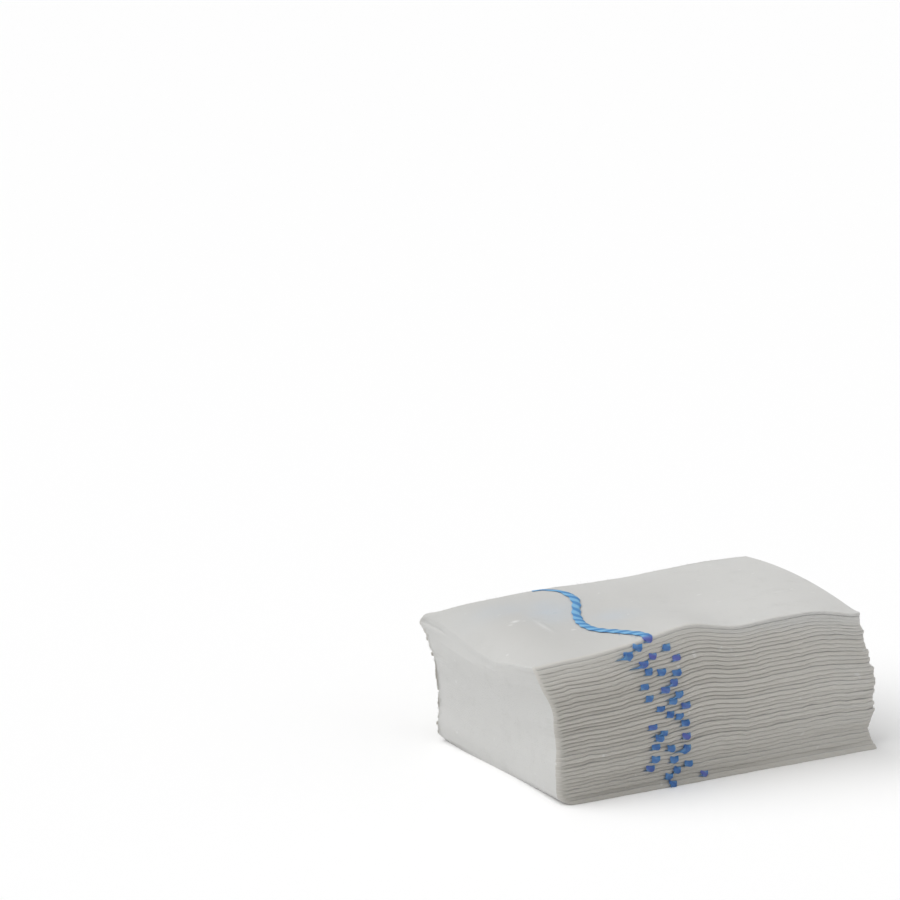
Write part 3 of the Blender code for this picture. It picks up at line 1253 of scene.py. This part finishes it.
@dataclass(frozen=True)
class GauzeFinish:
    """White nonwoven cloth: matt, slightly see-through, with fine fibres and faint clouds, painted shade on
    the top and on the folds' noses, and a painted highlight along one crease.
    """

    pale: Triple = (0.589, 0.586, 0.569)
    # Darker cloth, for the random mottle and for painted shade on the top.
    dark_mottle_and_shade: Triple = (0.503, 0.499, 0.481)
    folded: Triple = (0.602, 0.580, 0.536)
    # Painted shade for the folds' noses, mixed in by fold_share.
    shaded: Triple = (0.452, 0.434, 0.398)
    tinted: Triple = (0.46, 0.53, 0.61)
    # Lint colour, also used for a painted highlight along the main crease.
    lint_and_highlight: Triple = (0.70, 0.70, 0.69)
    cloud_level: float = 0.68
    cloud_contrast: float = 1.5
    fibre_share: float = 0.45
    nose_edge: float = 8.0
    fold_share: float = 0.85
    shade_share: float = 0.85
    painted_shade_share: float = 0.90
    tint_share: float = 0.52
    tint_base: float = 0.4
    lint_scale: float = 620.0
    lint_level: float = 0.80
    lint_contrast: float = 12.0
    lint_share: float = 0.5
    roughness: float = 0.88
    shine: float = 0.2
    see_through: float = 0.25
    scatter: Triple = (1.0, 0.95, 0.9)
    depth: float = 1.2 * MM
    sheen: float = 0.15
    sheen_roughness: float = 0.6
    fibre_height: float = 0.035 * MM
    fibre_strength: float = 0.6
    crease_height: float = 0.16 * MM
    creases: tuple[SoftSpot, ...] = (
        SoftSpot((-27.3, 1.0, 29.5), (4.4, 0.80, 4.0), 80.0),
        SoftSpot((-26.2, 6.6, 29.4), (2.6, 0.70, 4.0), 118.0, 0.7),
        SoftSpot((-20.5, 8.1, 29.5), (0.7, 0.5, 2.0)),
    )
    # Painted shade: makes the left and middle of the top darker than its right.
    painted_shade_spots: tuple[SoftSpot, ...] = (
        SoftSpot((-25.0, 4.0, 29.0), (24.0, 40.0, 6.0)),
        SoftSpot((3.0, 10.0, 32.0), (17.0, 16.0, 6.0), 0.0, 0.55),
    )
    tints: tuple[SoftSpot, ...] = (
        SoftSpot((-20.0, 10.0, 29.5), (5.0, 9.0, 6.0), -20.0),
        SoftSpot((-13.0, -4.0, 29.8), (5.0, 5.0, 6.0), 0.0, 0.7),
        SoftSpot((-26.0, 18.0, 28.8), (9.0, 6.0, 6.0), 0.0, 0.45),
    )
    # Two small pale specks, and a painted highlight along the main crease's ridge (the third spot).
    specks_and_painted_highlight: tuple[SoftSpot, ...] = (
        SoftSpot((-29.8, 8.2, 29.0), (0.9, 0.6, 2.0), 20.0),
        SoftSpot((-31.6, 7.0, 28.8), (0.5, 0.4, 2.0), 0.0, 0.6),
        SoftSpot((-27.3, 1.0, 29.5), (4.2, 0.45, 4.0), 80.0, 0.50),
    )

    def material(self) -> Material:
        """Build the cloth's material.

        Returns:
            The material.
        """
        material, sheet, shader = start_material("gauze_nonwoven")
        place = sheet.add("TexCoord").outputs["Object"]
        creases, painted_shade_spots, tints, specks_and_painted_highlight = (
            SoftSpot.strongest(sheet, place, spots)
            for spots in (self.creases, self.painted_shade_spots, self.tints, self.specks_and_painted_highlight)
        )
        fibres, clouds = FibreWeb.use(sheet, place, 1.0)
        clouded = sheet.times(sheet.minus(self.cloud_level, clouds), self.cloud_contrast)
        share = sheet.minus(clouded, sheet.times(fibres, self.fibre_share), clamp=True)
        colour = sheet.mix(share, self.pale, self.dark_mottle_and_shade)
        # Painted shade over the left and middle of the top.
        colour = sheet.mix(sheet.times(painted_shade_spots, self.painted_shade_share), colour, self.dark_mottle_and_shade)
        fold = sheet.attribute("fold_share")
        nose = sheet.times(fold, self.nose_edge, clamp=True)
        colour = sheet.mix(sheet.times(nose, self.fold_share), colour, self.folded)
        # Painted shade on the noses: stronger at the left end and near the foot, weaker near the top and to
        # the right.
        colour = sheet.mix(sheet.times(fold, self.shade_share), colour, self.shaded)
        tint = sheet.times(sheet.times(tints, self.tint_share), sheet.math("ADD", clouds, self.tint_base))
        colour = sheet.mix(tint, colour, self.tinted)
        lint_and_highlight = sheet.minus(sheet.noise(place, self.lint_scale, 0.0), self.lint_level)
        lint_and_highlight = sheet.times(sheet.times(lint_and_highlight, self.lint_contrast, clamp=True), self.lint_share)
        # Lint and pale specks, and a painted highlight along the main crease.
        colour = sheet.mix(sheet.math("MAXIMUM", lint_and_highlight, specks_and_painted_highlight), colour, self.lint_and_highlight)
        raised = sheet.bump(creases, self.crease_height, 1.0)
        surface = {
            "Base Color": colour,
            "Normal": sheet.bump(fibres, self.fibre_height, self.fibre_strength, {"Normal": raised}),
            "Roughness": self.roughness,
            "Specular IOR Level": self.shine,
            "Subsurface Weight": self.see_through,
            "Subsurface Radius": self.scatter,
            "Subsurface Scale": self.depth,
            "Sheen Weight": self.sheen,
            "Sheen Roughness": self.sheen_roughness,
        }
        sheet.feed(shader, surface)
        return material


@dataclass(frozen=True)
class YarnFinish:
    """Twisted blue yarn: light on the crowns of its strands, with painted shade in the grooves between
    strands, and deeper on the folds.
    """

    light: Triple = (0.21, 0.46, 0.70)
    # Painted shade in the grooves between the strands.
    painted_strand_shade: Triple = (0.075, 0.25, 0.53)
    fold_light: Triple = (0.105, 0.24, 0.50)
    fold_deep: Triple = (0.045, 0.12, 0.36)
    violet: Triple = (0.125, 0.12, 0.42)
    violet_share: float = 0.75
    fineness: float = 1.6
    strand_contrast: float = 0.9
    strand_level: float = 0.35
    cloud_contrast: float = 3.0
    cloud_level: float = 0.35
    fibre_height: float = 0.1 * MM
    fibre_strength: float = 0.5
    roughness: float = 0.6
    shine: float = 0.3

    def material(self) -> Material:
        """Build the yarn's material.

        Returns:
            The material.
        """
        material, sheet, shader = start_material("tracer_yarn")
        place = sheet.add("TexCoord").outputs["Object"]
        fibres, clouds = FibreWeb.use(sheet, place, self.fineness)
        turns, angle, fold, violet = (
            sheet.attribute(name) for name in ("yarn_turns", "yarn_angle", "on_fold", "violet")
        )
        wave = sheet.math("SINE", sheet.times(sheet.minus(turns, angle), WHOLE_TURN), 0.0)
        # Painted shade between the strands, following the twist.
        strand_shade_share = sheet.math("ADD", sheet.times(wave, self.strand_contrast), self.strand_level, clamp=True)
        twist_with_painted_shade = sheet.mix(strand_shade_share, self.light, self.painted_strand_shade)
        clouded = sheet.times(sheet.minus(clouds, self.cloud_level), self.cloud_contrast, clamp=True)
        folded = sheet.mix(clouded, self.fold_light, self.fold_deep)
        folded = sheet.mix(sheet.times(violet, self.violet_share), folded, self.violet)
        surface = {
            "Base Color": sheet.mix(fold, twist_with_painted_shade, folded),
            "Normal": sheet.bump(fibres, self.fibre_height, self.fibre_strength),
            "Roughness": self.roughness,
            "Specular IOR Level": self.shine,
        }
        sheet.feed(shader, surface)
        return material


@dataclass(frozen=True)
class FloorFinish:
    """Plain pale studio paper."""

    colour: Triple = (0.96, 0.96, 0.96)
    roughness: float = 0.9
    shine: float = 0.1

    def material(self) -> Material:
        """Build the floor's material.

        Returns:
            The material.
        """
        material, sheet, shader = start_material("studio_paper")
        surface = {"Base Color": self.colour, "Roughness": self.roughness, "Specular IOR Level": self.shine}
        sheet.feed(shader, surface)
        return material


@dataclass(frozen=True)
class SoftLight:
    """A wide, even light from one direction, as from a large lit panel."""

    name: str
    azimuth: float
    elevation: float
    spread: float
    power: float

    def build(self) -> None:
        """Place the light and turn it towards the pad."""
        azimuth, elevation = math.radians(self.azimuth), math.radians(self.elevation)
        level = Vector((math.sin(azimuth), -math.cos(azimuth), 0.0)) * math.cos(elevation)
        direction = level + Vector((0.0, 0.0, math.sin(elevation)))
        data = bpy.data.lights.new(self.name, "SUN")
        data.angle = math.radians(self.spread)
        data.energy = self.power
        light = bpy.data.objects.new(self.name, data)
        light.location = direction
        light.rotation_euler = (-direction).to_track_quat("-Z", "Y").to_euler()
        bpy.context.scene.collection.objects.link(light)


@dataclass
class Studio:
    """Floor, lights, surroundings and camera."""

    floor_size: float = 6.0
    floor_gap: float = 0.02 * MM
    camera_place: Triple = (-0.5508, -0.8435, 0.3133)
    camera_aim: Triple = (0.4952, 0.8347, -0.2407)
    camera_range: Pair = (0.05, 20.0)
    lens: float = 200.0
    sensor: float = 36.0
    surroundings: float = 0.32
    lights: tuple[SoftLight, ...] = (
        SoftLight("key_light", -106.0, 55.5, 70.0, 2.40),
        SoftLight("fill_light", 62.0, 42.0, 80.0, 0.45),
    )

    def build(self) -> None:
        """Set up the whole studio."""
        self.build_floor()
        for light in self.lights:
            light.build()
        self.build_surroundings()
        self.build_camera()

    def build_floor(self) -> None:
        """Lay the floor just under the pad."""
        bpy.ops.mesh.primitive_plane_add(size=self.floor_size, location=(0.0, 0.0, -self.floor_gap))
        floor = bpy.context.object
        floor.name = "studio_floor"
        bpy.ops.object.transform_apply(location=True, rotation=True, scale=True)
        floor.data.materials.append(FloorFinish().material())

    def build_surroundings(self) -> None:
        """Light everything evenly from a pale surround."""
        world = bpy.data.worlds.new("studio_surround")
        world.use_nodes = True
        background = world.node_tree.nodes["Background"]
        background.inputs["Color"].default_value = (1.0, 1.0, 1.0, 1.0)
        background.inputs["Strength"].default_value = self.surroundings
        bpy.context.scene.world = world
        bpy.context.scene.view_settings.view_transform = "Standard"

    def build_camera(self) -> None:
        """Place the camera where the photograph was taken from."""
        data = bpy.data.cameras.new("photo_camera")
        data.lens = self.lens
        data.sensor_width = self.sensor
        data.clip_start, data.clip_end = self.camera_range
        camera = bpy.data.objects.new("photo_camera", data)
        back = -Vector(self.camera_aim).normalized()
        right = Vector((0.0, 0.0, 1.0)).cross(back).normalized()
        turned = Matrix((right, back.cross(right), back)).transposed().to_4x4()
        turned.translation = self.camera_place
        camera.matrix_world = turned
        bpy.context.scene.collection.objects.link(camera)
        bpy.context.scene.camera = camera


def report(piece: Piece) -> None:
    """Log one finished piece and its size in triangles."""
    triangles = sum(len(face.vertices) - 2 for face in piece.data.polygons)
    LOG.info("%s: %d triangles", piece.name, triangles)


CLOTH_FIBRES = (
    FibrePatch(240, (-0.5, -0.5), (0.470, 0.497), (0.04, 0.93), (0.15, 0.55), (-0.9, 0.6, 0.1)),
    FibrePatch(40, (-0.5, -0.492), (0.46, 0.497), (0.91, 1.00), (0.3, 0.9), (-0.8, 0.5, 0.2)),
    FibrePatch(60, (-0.5, -0.5), (-0.48, 0.48), (0.02, 0.94), (0.2, 0.5), (-0.2, 0.0, 0.0)),
    FibrePatch(90, (0.5, 0.5), (-0.495, -0.46), (0.04, 1.00), (0.15, 0.5), (1.0, -0.3, 0.0)),
    FibrePatch(70, (0.5, 0.5), (-0.48, 0.48), (0.02, 0.96), (0.2, 0.5), (0.2, 0.0, 0.0)),
    FibrePatch(90, (-0.49, 0.49), (0.497, 0.5), (0.998, 1.00), (0.2, 0.6), (0.0, 1.0, 0.2)),
    FibrePatch(70, (-0.48, 0.49), (-0.502, -0.498), (0.03, 0.95), (0.2, 0.5), (0.0, -0.6, 0.0)),
)
YARN_HAIRS = (
    FibrePatch(2, (-0.193, -0.189), (-0.333, -0.323), (1.006, 1.008), (2.4, 3.2), (-0.3, -0.95, 0.0), 0.05),
    FibrePatch(2, (-0.175, -0.171), (-0.387, -0.377), (1.006, 1.008), (2.4, 3.2), (-0.3, -0.95, 0.0), 0.05),
    FibrePatch(2, (-0.162, -0.158), (-0.425, -0.415), (1.006, 1.008), (2.0, 2.8), (-0.5, -0.8, 0.0), 0.08),
)


def main() -> None:
    """Build and dress the pad, then set up the studio."""
    logging.basicConfig(level=logging.INFO, format="%(name)s: %(message)s")
    form = PadForm()
    gauze, yarn = GauzeFinish().material(), YarnFinish().material()
    strip = GauzeStrip(form)
    strip.build()
    thread = TracerThread(strip)
    thread.build()
    thread.dress(yarn)
    fringe = LooseFibres(form, "cloth_fibres", CLOTH_FIBRES)
    fringe.build()
    fringe.dress(gauze, "gauze")
    hairs = LooseFibres(form, "yarn_hairs", YARN_HAIRS, curl=0.15, sink=0.4 * MM)
    hairs.build()
    hairs.dress(yarn, "thread")
    strip.dress(gauze, [thread.object, fringe.object, hairs.object])
    for piece in (strip.object, thread.object, fringe.object, hairs.object):
        report(piece)
    Studio().build()


if __name__ == "__main__":
    main()
